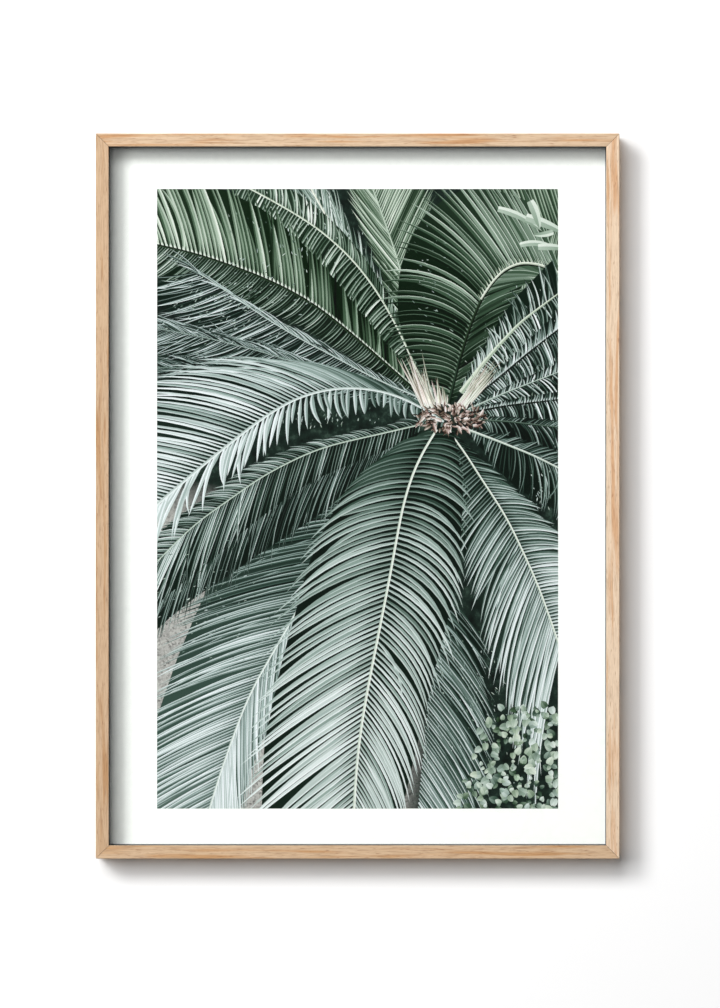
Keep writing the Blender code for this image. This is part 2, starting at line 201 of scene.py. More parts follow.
low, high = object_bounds()
centre = (low + high) / 2
METRE = 1000  # mm
PICTURE_WIDE, PICTURE_TALL = 400, 618  # mm
PICTURE_DROP = 0.0027  # the border is a little narrower at the foot than at the head
# The ink lies on the print's face, a hair in front of it
HAIR = 0.00003
INK_FRONT = min(vertex.co.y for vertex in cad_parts["print_sheet"].data.vertices) - HAIR
picture_left = centre.x - PICTURE_WIDE / METRE / 2
picture_foot = centre.z - PICTURE_DROP - PICTURE_TALL / METRE / 2

# The film of ink thins out over its last half millimetre
RIM, RIM_FALL = 0.0005, 0.00002
bpy.ops.mesh.primitive_plane_add(
    size=1, location=(centre.x, INK_FRONT + RIM_FALL, centre.z - PICTURE_DROP),
    rotation=(math.radians(90), 0, 0))
ground = bpy.context.object
ground.name = "picture_ground"
ground.scale = (PICTURE_WIDE / METRE, PICTURE_TALL / METRE, 1)
bpy.ops.object.transform_apply(location=True, rotation=True, scale=True)
ground.data.uv_layers[0].name = "OFBake"
bpy.ops.object.mode_set(mode="EDIT")
bpy.ops.mesh.select_all(action="SELECT")
bpy.ops.mesh.inset(thickness=RIM, depth=RIM_FALL)
bpy.ops.object.mode_set(mode="OBJECT")

ink = new_material("pigment_ink_background")
place = add(ink, "TexCoord").outputs["Object"]
leaf_shade = add(ink, "TexNoise", {}, {"Vector": place, "Scale": 90, "Detail": 5, "Roughness": 0.7})
shade_tone = add(ink, "ValToRGB", {}, {"Fac": leaf_shade.outputs["Fac"]})
shade_colour = set_stops(shade_tone, (0.35, "#040A08"), (0.55, "#15241E"), (0.72, "#3A4C43"))
# Stones of about 2 mm, each its own grey
stones = add(ink, "TexVoronoi", {}, {"Vector": place, "Scale": 560})
stone_tone = add(ink, "ValToRGB", {}, {"Fac": stones.outputs["Color"]})
stone_colour = set_stops(stone_tone, (0.05, "#6A6867"), (0.3, "#989694"), (0.9, "#B6B4B1"))
beds = []
for across, up, reach in ((0, 0.060, 0.30), (0.175, 0.010, 0.09)):
    spot = (picture_left + across, 0, picture_foot + up)
    middle = add(ink, "Mapping", {"vector_type": "TEXTURE"}, {
        "Vector": place, "Location": spot, "Scale": (reach, 1, reach)})
    bed = add(ink, "TexGradient", {"gradient_type": "SPHERICAL"}, {"Vector": middle.outputs[0]})
    edge = add(ink, "MapRange", {}, {"Value": bed.outputs["Fac"], "From Min": 0.1, "From Max": 0.25})
    beds.append(edge.outputs[0])
gravel = add(ink, "Math", {"operation": "MAXIMUM"}, {0: beds[0], 1: beds[1]})
inked = add(ink, "Mix", {"data_type": "RGBA"}, {
    "Factor": gravel.outputs[0], 6: shade_colour, 7: stone_colour})
shader = add(ink, "BsdfPrincipled", {}, {"Base Color": inked.outputs[2], "Roughness": 0.7, "IOR": 1.45})
add(ink, "OutputMaterial", {}, {"Surface": shader.outputs[0]})
ground.data.materials.append(ink)
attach(ground, "root")

# ------------------------------------------------------------------ image, the palm
# The crown of a feather-leaved palm, printed in pigment ink: some twenty fronds, each a row of narrow
# leaflets on either side of its stalk, lying over one another from the back to the front. Flat strips of
# ink like these start from no primitive, so every leaflet is worked out from its frond's rows of angles.

# All lengths in the drawing are millimetres from the image's lower left corner. Angles are in degrees from
# the right, tones run from 0 (dark) to 1 (pale), and hues from 0 (cool green) over 0.5 (leaf green) to 1
# (brown). A blade's form is where its ridge lies across it, and how much its two halves add to its tone.
FLAT = (0.0, 0.12, -0.12)
SILVERY = (0.1, 0.06, -0.15)
PATH_STEPS = 64
SHEAF = 16  # layers that one frond takes: shade, leaflets, then its stalk
rng = random.Random(11)
marks = []  # (layer, four corners, four tones, hue)
top_layer = 0


def mix(a, b, amount):
    """The point or row of values this far from a to b."""
    return tuple(x + (y - x) * amount for x, y in zip(a, b))


def between(rows, place):
    """The values at place in a table whose rows start with their own place."""
    for a, b in zip(rows, rows[1:]):
        if place <= b[0]:
            return mix(a[1:], b[1:], max(0, place - a[0]) / (b[0] - a[0]))
    return rows[-1][1:]


def evenly(line, count):
    """count + 1 points at equal distances along a line, and its length."""
    run = [0]
    for a, b in zip(line, line[1:]):
        run.append(run[-1] + math.dist(a, b))
    points, at = [], 0
    for k in range(count + 1):
        want = run[-1] * k / count
        while at < len(run) - 2 and run[at + 1] < want:
            at += 1
        points.append(mix(line[at], line[at + 1], (want - run[at]) / (run[at + 1] - run[at])))
    return points, run[-1]


def rounded(line):
    """The line with its corners rounded off, in PATH_STEPS short steps."""
    line = evenly(line, PATH_STEPS)[0]
    for _ in range(30):
        line = [line[0]] + [tuple((p + 2 * q + r) / 4 for p, q, r in zip(*three))
                            for three in zip(line, line[1:], line[2:])] + [line[-1]]
    return line


def stroke(layer, line, widths, tones, hue, form, flip=1):
    """One blade along a line: two strips that meet on a ridge, one lit and one shaded."""
    ridge, lit, dim = form
    rows = []
    for k, (x, z) in enumerate(line):
        (ax, az), (bx, bz) = line[max(0, k - 1)], line[min(len(line) - 1, k + 1)]
        long = math.hypot(bx - ax, bz - az) or 1
        nx, nz = (az - bz) / long * widths[k] / 2 * flip, (bx - ax) / long * widths[k] / 2 * flip
        rows.append(((x + nx, z + nz), (x + nx * ridge, z + nz * ridge), (x - nx, z - nz)))
    for k, (a, b) in enumerate(zip(rows, rows[1:])):
        for side, lift in ((0, lit), (2, dim)):
            marks.append((layer, (a[1], a[side], b[side], b[1]),
                          (tones[k] + lift, tones[k] + lift, tones[k + 1] + lift, tones[k + 1] + lift), hue))


def leaflet(layer, root, start, end, length, width, tone, hue, form, steps=7, foot=0.5, flip=1):
    """A narrow pointed blade that leaves root at one angle and ends at another, in degrees."""
    line, widths = [root], []
    for k in range(steps + 1):
        along = k / steps
        if k:
            turn = math.radians(start + (end - start) * along)
            line.append((line[-1][0] + math.cos(turn) * length / steps,
                         line[-1][1] + math.sin(turn) * length / steps))
        widths.append(width * (foot + (1 - foot) * min(1, along * 4)) * (1 - along ** 3) ** 0.8)
    tones = [tone[0] + (tone[1] - tone[0]) * k / steps for k in range(steps + 1)]
    stroke(layer, line, widths, tones, hue, form, flip)


def frond(path, pitch, width, left, right, tone, hue=0.0, form=FLAT, stem=None, shade=None, scatter=1.2,
          stray=0.03, mottle=0.07, foot=0.5, steps=7, teeth=None, slim=1.0):
    """A feather-shaped frond along path, with a leaflet every pitch mm on the sides that have rows.
    left and right: (place, start angle, end angle, length) rows; tone: (place, root, tip) rows
    stem: (thickness at the foot, at the tip, tone, hue); shade: the tone behind its leaflets, foot and tip
    scatter and stray: how loose they hang; mottle: how much their tones differ; foot: how wide each starts
    teeth: short bright blades on the stalk: (rows of (place, angle), length, width, tone)
    slim: how wide the left-hand leaflets end up, beside the others"""
    global top_layer
    spine = rounded(path)
    count = max(2, int(evenly(spine, 60)[1] / pitch))
    spots = evenly(spine, count)[0]
    for side, rows in ((1, left), (-1, right)):
        # The shade, a web that reaches from the stalk to four fifths of the leaflets' length
        last = None
        for k in range(0, count + 1, 2) if rows and shade else ():
            start, end, size = between(rows, k / count)
            line = [spots[k]]
            for j in range(1, 5):
                turn = math.radians(start + (end - start) * j / 5)
                line.append((line[-1][0] + math.cos(turn) * size * 0.21,
                             line[-1][1] + math.sin(turn) * size * 0.21))
            for j in range(4) if last else ():
                marks.append((top_layer, (last[j], line[j], line[j + 1], last[j + 1]),
                              (shade[0] + (shade[1] - shade[0]) * k / count,) * 4, hue))
            last = line
        # The leaflets, none quite like the next, and a stray one here and there
        for k in range(count + 1) if rows else ():
            start, end, size = between(rows, k / count)
            start += rng.gauss(0, scatter)
            end += rng.gauss(0, scatter * 1.8)
            size *= 1 + rng.gauss(0, 0.05)
            if rng.random() < stray:
                start, end = start + rng.gauss(0, 7), end + rng.gauss(0, 14)
                size *= rng.uniform(0.6, 1)
            lift = rng.gauss(0, mottle)
            first, tip = between(tone, k / count)
            wide = width * (1 + rng.gauss(0, 0.08)) * (1 if side < 0 else 1 + (slim - 1) * k / count)
            leaflet(top_layer + 1 + k % 12, spots[k], start, end, size, wide,
                    (first + lift, tip + lift), hue, form, steps, foot, -side)
    for k in range(count + 1) if teeth else ():
        rows, size, thick, pale = teeth
        turn = between(rows, k / count)[0]
        leaflet(top_layer + 13 + k % 2, spots[k], turn, turn, size, thick, (pale, pale - 0.25), hue,
                (0, 0.05, -0.05), 2, 0.9)
    if stem:
        thick, thin, pale, tint = stem
        widths = [thick + (thin - thick) * k / PATH_STEPS for k in range(PATH_STEPS + 1)]
        stroke(top_layer + SHEAF - 1, spine, widths, [pale] * (PATH_STEPS + 1), tint, (0, 0.06, -0.14))
    top_layer += SHEAF


# At the top, behind the rest, from right to left
frond([(420, 600), (390, 570), (360, 548)], 3.4, 2.4,
      [(0, 105, 100, 90), (1, 118, 112, 110)], [(0, -110, -100, 60), (1, -100, -90, 60)],
      [(0, 0.4, 0.6), (1, 0.5, 0.6)], 0.4, shade=(0.26, 0.26))
frond([(279, 409), (266, 450), (252, 500), (241, 546), (227, 586), (214, 622)], 3.3, 2.3,
      [(0, 120, 125, 20), (0.3, 128, 130, 45), (0.6, 130, 124, 80), (1, 128, 122, 90)],
      [(0, 75, 80, 15), (0.3, 74, 70, 45), (0.55, 68, 64, 80), (1, 66, 62, 90)],
      [(0, 0.38, 0.38), (0.5, 0.55, 0.5), (1, 0.62, 0.6)], 0.4,
      FLAT, (2.0, 1.2, 0.75, 0.4), (0.2, 0.3), mottle=0.12)
frond([(277, 405), (249, 455), (219, 503), (190, 554), (168, 592), (150, 625)], 2.6, 1.6,
      [(0, 170, 160, 10), (0.3, 150, 135, 45), (0.6, 138, 120, 95), (1, 130, 114, 95)],
      [(0, 80, 90, 10), (0.3, 82, 105, 30), (0.7, 92, 112, 55), (1, 95, 110, 60)],
      [(0, 0.6, 0.4), (0.5, 0.65, 0.52), (1, 0.62, 0.55)], 0.15,
      FLAT, (3.2, 1.6, 0.93, 0.6), (0.2, 0.32), 6, 0.15, 0.17)
frond([(270, 410), (246, 468), (222, 513), (195, 549), (160, 580), (120, 604), (80, 625)], 3.4, 2.3,
      [(0, 80, 86, 8), (0.4, 86, 92, 18), (1, 90, 104, 34)],
      [(0, 200, 220, 10), (0.3, 215, 245, 40), (0.6, 225, 258, 56), (1, 240, 265, 60)],
      [(0, 0.3, 0.3), (0.5, 0.46, 0.5), (1, 0.55, 0.5)], 0.3,
      FLAT, (1.8, 1.6, 0.86, 0.5), (0.16, 0.26), 4, 0.12, 0.16)
# The long arching one, its narrow dark leaflets below it and the broad ones above
ARCH = [(275, 402), (233, 439), (190, 477), (153, 506), (113, 527), (73, 542), (33, 555.5), (-7, 563.5)]
frond(ARCH, 2.8, 1.8, [],
      [(0, 235, 215, 8), (0.3, 235, 210, 22), (0.6, 232, 208, 40), (1, 228, 205, 55)],
      [(0, 0.2, 0.2), (0.5, 0.3, 0.4), (1, 0.42, 0.5)], 0.25,
      (0.2, 0.22, -0.1), None, (0.12, 0.2), 2, 0.1, 0.14)
frond(ARCH, 4.3, 3.7,
      [(0, 100, 96, 10), (0.3, 96, 92, 40), (0.45, 94, 94, 62), (0.6, 96, 104, 90), (0.8, 100, 114, 105),
       (1, 106, 124, 95)], [],
      [(0, 0.3, 0.24), (0.4, 0.46, 0.3), (0.6, 0.56, 0.44), (1, 0.66, 0.54)], 0.4, (0.0, 0.08, -0.1),
      (2.6, 2.0, 0.2, 0.5), (0.14, 0.24), 1.2, 0.08, 0.12,
      teeth=([(0, 112), (0.5, 103), (0.7, 101), (1, 106)], 5.5, 2.4, 0.98))

# Upper left, a thicket of thin dark fronds
frond([(262, 410), (219, 428), (179, 450), (142, 469), (107, 490), (73, 514), (41, 535)], 2.7, 1.7,
      [(0, 130, 150, 8), (0.3, 128, 150, 30), (1, 140, 160, 45)],
      [(0, 210, 205, 8), (0.3, 212, 200, 40), (0.7, 208, 192, 75), (1, 200, 188, 70)],
      [(0, 0.3, 0.34), (0.5, 0.36, 0.46), (1, 0.44, 0.5)], 0.02,
      (0.2, 0.28, -0.12), (1.6, 1.0, 0.75, 0.1), (0.14, 0.2), 3, 0.12, 0.17)
frond([(264, 405), (215, 420), (160, 438), (105, 456), (50, 470), (-5, 480)], 2.6, 1.6,
      [(0, 150, 160, 8), (0.4, 140, 165, 40), (1, 145, 172, 50)],
      [(0, 215, 205, 8), (0.4, 212, 196, 40), (1, 205, 190, 60)],
      [(0, 0.26, 0.24), (0.5, 0.32, 0.38), (1, 0.36, 0.46)], 0.0,
      (0.2, 0.28, -0.1), (1.6, 0.8, 0.6, 0.1), (0.12, 0.18), 4, 0.15, 0.17)
frond([(268, 403), (225, 414), (180, 424), (130, 431), (80, 437), (30, 440), (-10, 440)], 2.6, 1.5,
      [(0, 150, 160, 8), (0.4, 150, 168, 40), (1, 155, 175, 40)],
      [(0, 200, 195, 8), (0.4, 205, 190, 40), (1, 200, 185, 40)],
      [(0, 0.3, 0.24), (0.5, 0.24, 0.26), (1, 0.27, 0.33)], 0.0,
      (0.3, 0.24, -0.06), (1.2, 0.8, 0.5, 0.1), (0.1, 0.12), 4, 0.15, 0.15)

# Upper right: one that hooks over, with a bright edge at its end, and the thin ones below it
HOOK_END = [(323, 508), (333, 524), (346, 538), (363, 545), (382, 543), (402, 534)]
frond([(291, 407), (296, 424), (303, 452), (312, 481)] + HOOK_END, 4.0, 3.9,
      [(0, 150, 175, 15), (0.2, 146, 192, 62), (0.35, 138, 196, 88), (0.5, 130, 182, 105),
       (0.62, 124, 150, 115), (0.75, 120, 128, 110), (1, 112, 118, 95)],
      [(0, 30, 20, 10), (0.25, 42, 28, 55), (0.5, 36, 16, 60), (0.7, 10, -20, 50), (1, -60, -85, 40)],
      [(0, 0.2, 0.3), (0.4, 0.32, 0.36), (0.7, 0.46, 0.48), (1, 0.56, 0.56)], 0.34, (0.55, 0.22, -0.04),
      (3.0, 2.8, 0.2, 0.5), (0.1, 0.28), mottle=0.1, steps=9,
      teeth=([(0, 150), (0.4, 135), (1, 112)], 5, 1.5, 0.62))
frond(HOOK_END, 3.6, 1.2,
      [(0, 120, 120, 7), (1, 112, 112, 7)], [],
      [(0, 0.85, 0.5), (1, 0.9, 0.55)], 0.5, FLAT, (1.8, 2.4, 0.88, 0.55))
frond([(303, 415), (330, 450), (362, 485), (402, 515)], 2.8, 1.8,
      [(0, 80, 90, 10), (0.5, 95, 110, 25), (1, 95, 110, 40)],
      [(0, -20, -60, 10), (0.5, -50, -80, 30), (1, -60, -90, 40)],
      [(0, 0.65, 0.5), (1, 0.55, 0.5)], 0.1, FLAT, (5, 1.2, 0.8, 0.5), (0.2, 0.2), 7, 0.25, 0.2)
frond([(307, 402), (339, 428), (371, 455), (402, 479)], 2.7, 1.8,
      [(0, 70, 80, 6), (0.5, 75, 90, 14), (1, 80, 100, 22)],
      [(0, -30, -50, 10), (0.5, -45, -85, 34), (1, -60, -92, 45)],
      [(0, 0.55, 0.45), (1, 0.62, 0.5)], 0.05, FLAT, (2.2, 1.6, 0.12, 0.2), (0.15, 0.15), 5, 0.15, 0.18,
      teeth=([(0, 75), (1, 85)], 4.5, 1.3, 0.95))
frond([(310, 398), (350, 416), (402, 436)], 2.7, 1.6,
      [(0, 60, 70, 6), (1, 75, 90, 12)],
      [(0, -20, -50, 10), (0.5, -30, -60, 25), (1, -30, -70, 40)],
      [(0, 0.55, 0.45), (1, 0.62, 0.5)], 0.05, FLAT, (2.0, 1.0, 0.7, 0.2), (0.12, 0.14), 7, 0.25, 0.2)
frond([(312, 395), (350, 402), (402, 408)], 2.7, 1.7,
      [(0, 60, 70, 6), (1, 75, 90, 10)],
      [(0, -50, -80, 10), (0.5, -60, -90, 25), (1, -60, -95, 40)],
      [(0, 0.45, 0.35), (1, 0.55, 0.4)], 0.05, FLAT, (2.0, 1.4, 0.14, 0.2), (0.08, 0.1), 6, 0.2, 0.18,
      teeth=([(0, 75), (1, 80)], 4, 1.3, 0.85))
frond([(312, 388), (350, 386), (402, 380)], 2.7, 1.6,
      [(0, 60, 30, 6), (1, 40, 20, 14)],
      [(0, -50, -80, 10), (0.5, -50, -80, 30), (1, -50, -85, 40)],
      [(0, 0.3, 0.25), (1, 0.42, 0.3)], 0.05, FLAT, (1.8, 1.2, 0.4, 0.2), (0.06, 0.08), 5, 0.15, 0.16)
frond([(307, 379), (339, 367), (374, 353), (402, 339), (415, 332)], 2.9, 1.9,
      [(0, 30, 20, 1), (0.3, 25, 10, 18), (1, 25, 0, 30)],
      [(0, -100, -110, 1), (0.25, -120, -100, 20), (0.5, -75, -100, 50), (1, -65, -95, 60)],
      [(0, 0.35, 0.3), (0.5, 0.42, 0.45), (1, 0.52, 0.5)], 0.05, FLAT, (2.2, 1.5, 0.85, 0.3), (0.1, 0.14),
      4, 0.1, 0.14)

# Low down: the dark ones that hang over the gravel
frond([(262, 235), (270, 190), (273, 150), (270, 100), (264, 40), (258, -30)], 4.0, 3.2,
      [(0, -34, -62, 110), (0.3, -42, -66, 112), (0.6, -50, -68, 112), (1, -55, -70, 110)], [],
      [(0, 0.26, 0.34), (0.4, 0.42, 0.5), (0.8, 0.56, 0.66), (1, 0.62, 0.7)], 0.03, (0.3, 0.28, -0.06),
      shade=(0.14, 0.32), mottle=0.12)
frond([(240, 360), (205, 300), (168, 245), (142, 203), (126, 173), (107, 141), (91, 115), (75, 69),
       (62, 34), (50, -8)], 3.5, 2.4,
      [(0, 182, 196, 70), (0.25, 184, 200, 150), (0.5, 190, 205, 140), (0.7, 200, 210, 130),
       (1, 208, 214, 115)],
      [(0, 240, 250, 60), (0.35, 252, 262, 70), (0.6, 262, 270, 95), (0.8, 270, 274, 110),
       (1, 272, 276, 100)],
      [(0, 0.2, 0.3), (0.3, 0.4, 0.5), (0.5, 0.6, 0.68), (0.8, 0.72, 0.76), (1, 0.74, 0.78)], 0.03,
      (0.2, 0.14, -0.12), (1.8, 1.8, 0.92, 0.2), (0.16, 0.46), 1.0, mottle=0.12)
frond([(262, 385), (199, 348), (135, 320), (90, 300), (40, 262), (0, 220)], 3.0, 2.0,
      [(0, 160, 180, 20), (0.5, 170, 190, 40), (1, 180, 200, 50)],
      [(0, 235, 255, 20), (0.3, 240, 258, 60), (0.6, 246, 258, 85), (1, 240, 255, 90)],
      [(0, 0.16, 0.16), (1, 0.24, 0.26)], 0.05, (0.35, 0.3, -0.04), (1.4, 1.0, 0.5, 0.1), (0.1, 0.14), 2,
      mottle=0.12)
frond([(262, 383), (206, 370), (163, 361), (126, 343), (99, 329), (73, 308), (41, 288), (1, 248),
       (-20, 225)], 3.5, 2.4,
      [(0, 140, 170, 10), (0.5, 165, 190, 30), (1, 185, 200, 40)],
      [(0, 250, 265, 15), (0.3, 250, 258, 40), (0.6, 246, 256, 80), (1, 240, 252, 105)],
      [(0, 0.2, 0.24), (0.5, 0.36, 0.34), (1, 0.46, 0.38)], 0.08, (0.4, 0.32, -0.04), (1.6, 1.2, 0.75, 0.3),
      (0.1, 0.2), 2, mottle=0.14)

# Glints of sky between the leaflets, in the darker places: (middle, half widths, how many, which way)
for middle, reach, count, turn in (((70, 505), (75, 45), 260, 25), ((150, 575), (60, 38), 120, 110),
                                   ((160, 388), (60, 8), 60, 75), ((325, 110), (50, 70), 150, -60),
                                   ((360, 440), (45, 60), 190, -75), ((50, 210), (60, 60), 90, 20),
                                   ((275, 520), (26, 80), 60, 150), ((385, 300), (20, 40), 50, -75)):
    for k in range(count):
        spot = (rng.gauss(middle[0], reach[0] / 2), rng.gauss(middle[1], reach[1] / 2))
        lean = turn + rng.gauss(0, 16)
        leaflet(top_layer + k // 6, spot, lean, lean, rng.uniform(1.2, 4.5), rng.uniform(0.5, 1.1),
                (rng.uniform(0.35, 0.8),) * 2, rng.uniform(0, 0.3), (0, 0, 0), 2, 0.6)
    top_layer += count // 6 + 1

# The two pale ones at the sides and the large one in the middle
frond([(294, 372), (307, 356), (321, 332), (335, 312), (350, 288), (364, 258), (378, 228), (390, 195),
       (402, 160)], 3.4, 2.9,
      [(0, -10, -30, 10), (0.3, 10, -25, 40), (0.6, 18, -15, 60), (1, 15, -10, 60)],
      [(0, -160, -150, 10), (0.2, -140, -128, 50), (0.45, -130, -108, 85), (0.7, -116, -96, 125),
       (1, -106, -92, 165)],
      [(0, 0.2, 0.3), (0.3, 0.44, 0.6), (0.6, 0.68, 0.84), (1, 0.8, 0.9)], 0.06, (0.15, 0.12, -0.16),
      (1.8, 1.8, 0.92, 0.4), (0.12, 0.32), 2, mottle=0.1)
SIDE_PATH = [(286, 386), (268, 398), (250, 409), (228, 417), (201, 421), (175, 420), (150, 415), (128, 405),
             (105, 390), (81, 371), (46, 343), (9, 311), (-10, 295)]
frond(SIDE_PATH, 4.3, 2.7, [],
      [(0, 130, 150, 12), (0.2, 140, 165, 60), (0.35, 146, 185, 125), (0.5, 150, 182, 140),
       (0.7, 160, 180, 130), (1, 165, 182, 110)],
      [(0, 0.4, 0.46), (0.3, 0.62, 0.7), (0.6, 0.8, 0.86), (1, 0.9, 0.94)], 0.04, (0.2, 0.05, -0.08), None,
      (0.12, 0.26), 1.2, mottle=0.1)
frond(SIDE_PATH, 6.0, 4.0,
      [(0, 240, 262, 10), (0.2, 270, 290, 24), (0.4, 262, 276, 34), (0.6, 248, 262, 52), (0.8, 242, 258, 64),
       (1, 238, 255, 80)], [],
      [(0, 0.5, 0.5), (0.3, 0.66, 0.72), (0.6, 0.86, 0.9), (1, 0.92, 0.94)], 0.04,
      SILVERY, (2.0, 3.0, 0.86, 0.1), scatter=6, stray=0.3, foot=0.25)
frond([(279, 378), (270, 367), (259, 348), (251, 326), (244, 300), (239, 270), (233, 235), (225, 195),
       (217, 155), (208, 110), (201, 66), (197, 21), (196, -15)], 5.2, 3.9,
      [(0, 20, -30, 20), (0.12, 10, -55, 66), (0.25, -4, -70, 92), (0.35, -16, -74, 96),
       (0.45, -28, -74, 98), (0.62, -42, -76, 106), (0.8, -52, -78, 112), (1, -58, -78, 110)],
      [(0, 170, 215, 30), (0.12, 172, 222, 88), (0.25, 182, 226, 120), (0.35, 190, 224, 130),
       (0.45, 198, 222, 142), (0.62, 207, 220, 152), (0.8, 213, 222, 146), (1, 220, 226, 125)],
      [(0, 0.28, 0.3), (0.1, 0.38, 0.46), (0.25, 0.6, 0.7), (0.45, 0.72, 0.78), (1, 0.8, 0.86)], 0.1,
      (0.3, 0.08, -0.08), (2.2, 2.6, 0.96, 0.4), (0.08, 0.24), 0.9, mottle=0.07, steps=8, slim=0.66)

# Pale woolly stalks behind the scaly brown crown: (foot, which way, length, how many)
for foot, turn, reach, count in (((271, 403), 112, 56, 30), ((285, 402), 98, 28, 14),
                                 ((305, 402), 53, 62, 36)):
    for k in range(count):
        root = (foot[0] + rng.uniform(-7, 7), foot[1] + rng.uniform(-4, 3))
        lean = turn + rng.gauss(0, 3.5)
        leaflet(top_layer + k // 3, root, lean, lean + rng.gauss(0, 4), reach * rng.uniform(0.35, 1),
                rng.uniform(1.0, 2.4), (rng.uniform(0.75, 1), rng.uniform(0.4, 0.8)),
                rng.uniform(0.6, 0.95), FLAT, 5, 1)
    top_layer += 12
# A dark stalk in front of them
stroke(top_layer, [(290, 396), (292, 408), (297, 428), (302, 450)], [3.6, 3.2, 2.8, 2.6], [0.22] * 4, 0.3,
       (0, 0.06, -0.1))
top_layer += 1
# The crown, a low oval heap of scales that point outwards
SCALES = 180
for k in range(SCALES):
    turn, out = rng.uniform(0, 2 * math.pi), rng.random() ** 0.6
    root = (293 + 33 * out * math.cos(turn), 389 + 12 * out * math.sin(turn))
    lean = math.degrees(turn) + rng.gauss(0, 35)
    leaflet(top_layer + k // 3, root, lean, lean + 20, rng.uniform(3.5, 9), rng.uniform(1.6, 3.8),
            (rng.uniform(0.05, 0.9), rng.uniform(0.1, 0.95)), rng.uniform(0.85, 1.0), FLAT, 3, 0.7)
top_layer += SCALES // 3

# A low plant with small round leaves, lower right, paler towards the front
SMALL_LEAVES = 360
for k in range(SMALL_LEAVES):
    x, z = rng.uniform(300, 402), rng.uniform(-4, 102)
    if x - 296 < z * 0.45 + rng.gauss(0, 8):  # past its leaning left side
        continue
    size, turn = rng.uniform(2.0, 5.4), rng.uniform(0, 360)
    pale = rng.uniform(0.2, 0.44) + min(0.42, k / 480)
    leaflet(top_layer + k // 3, (x, z), turn, turn + 8, size * 1.7, size * 1.5, (pale - 0.1, pale + 0.06),
            rng.uniform(0.15, 0.5), (0.05, 0.03, -0.05), 6, 0.7)
top_layer += SMALL_LEAVES // 3
# Soft pale tips at the top right
for root, start, end, size, thick in (((340, 598), -10, -40, 50, 7), ((368, 590), -15, -30, 45, 9),
                                      ((362, 562), 20, -30, 40, 6), ((380, 560), 5, -10, 30, 7),
                                      ((372, 606), -60, -80, 30, 9), ((395, 575), 200, 180, 20, 6)):
    leaflet(top_layer, root, start, end, size, thick, (0.85, 0.7), 0.35, SILVERY, 8, 0.8)
    top_layer += 1

# The strips become one mesh, each layer a little nearer than the last, and it is cut off at the image's edge
LAYER = 0.000002
drawing = bmesh.new()
tone_map = drawing.loops.layers.uv.new("OFBake")
for layer, corners, tones, hue in marks:
    if corners[2] == corners[3]:  # a pointed tip
        corners = corners[:3]
    depth = INK_FRONT - HAIR - layer * LAYER
    spots = [drawing.verts.new((picture_left + x / METRE, depth, picture_foot + z / METRE))
             for x, z in corners]
    strip = drawing.faces.new(spots)
    for loop, tone, tint in zip(strip.loops, tones, (hue, hue + 0.02, hue + 0.02, hue)):
        loop[tone_map].uv = (min(0.99, max(0.01, tone)), min(0.99, max(0.01, tint)))
for edge, outwards in (((picture_left, 0, 0), (-1, 0, 0)),
                       ((picture_left + PICTURE_WIDE / METRE, 0, 0), (1, 0, 0)),
                       ((0, 0, picture_foot), (0, 0, -1)),
                       ((0, 0, picture_foot + PICTURE_TALL / METRE), (0, 0, 1))):
    bmesh.ops.bisect_plane(drawing, geom=drawing.verts[:] + drawing.edges[:] + drawing.faces[:],
                           plane_co=edge, plane_no=outwards, clear_outer=True)
# The printer's colour bar, out of sight below the lip, holds every tone and tint of the drawing
BAR_LEFT, BAR_RIGHT, BAR_HALF = -0.2494, -0.2478, 0.06
bar = [drawing.verts.new((centre.x + x, INK_FRONT - HAIR, centre.z + z))
       for x, z in ((BAR_LEFT, -BAR_HALF), (BAR_RIGHT, -BAR_HALF), (BAR_RIGHT, BAR_HALF),
                    (BAR_LEFT, BAR_HALF))]
for loop, spot in zip(drawing.faces.new(bar).loops, ((0, 0), (0, 1), (1, 1), (1, 0))):
    loop[tone_map].uv = spot
drawing.normal_update()
bmesh.ops.reverse_faces(drawing, faces=[face for face in drawing.faces if face.normal.y > 0])
palm_mesh = bpy.data.meshes.new("picture_fronds")
drawing.to_mesh(palm_mesh)
drawing.free()
palm = bpy.data.objects.new("picture_fronds", palm_mesh)
bpy.context.scene.collection.objects.link(palm)

# Pigment ink on matt paper. Across the map it runs from dark to light, and up it from a cool green through
# a leaf green to a warm brown.
ink = new_material("pigment_ink_palm")
place = add(ink, "UVMap", {"uv_map": "OFBake"}).outputs["UV"]
axes = add(ink, "SeparateXYZ", {}, {0: place})
cool = add(ink, "ValToRGB", {}, {"Fac": axes.outputs["X"]})
cool_tones = set_stops(cool, (0, "#030303"), (0.2, "#03140D"), (0.4, "#384E47"), (0.6, "#899B99"),
                       (0.8, "#C4CED1"), (1, "#E3E7ED"))
leafy = add(ink, "ValToRGB", {}, {"Fac": axes.outputs["X"]})
leafy_tones = set_stops(leafy, (0, "#030303"), (0.2, "#031803"), (0.4, "#3B533B"), (0.6, "#879A85"),
                       (0.8, "#C0CBBC"), (1, "#E2E4DC"))
warm = add(ink, "ValToRGB", {}, {"Fac": axes.outputs["X"]})
warm_tones = set_stops(warm, (0, "#030303"), (0.2, "#1A0303"), (0.4, "#5B423A"), (0.6, "#A28680"),
                       (0.8, "#D3C2BF"), (1, "#E6E0E2"))
greener = add(ink, "MapRange", {}, {"Value": axes.outputs["Y"], "From Max": 0.5})
greens = add(ink, "Mix", {"data_type": "RGBA"}, {
    "Factor": greener.outputs[0], 6: cool_tones, 7: leafy_tones})
warmer = add(ink, "MapRange", {}, {"Value": axes.outputs["Y"], "From Min": 0.5})
tints = add(ink, "Mix", {"data_type": "RGBA"}, {
    "Factor": warmer.outputs[0], 6: greens.outputs[2], 7: warm_tones})
shader = add(ink, "BsdfPrincipled", {}, {"Base Color": tints.outputs[2], "Roughness": 0.7, "IOR": 1.45})
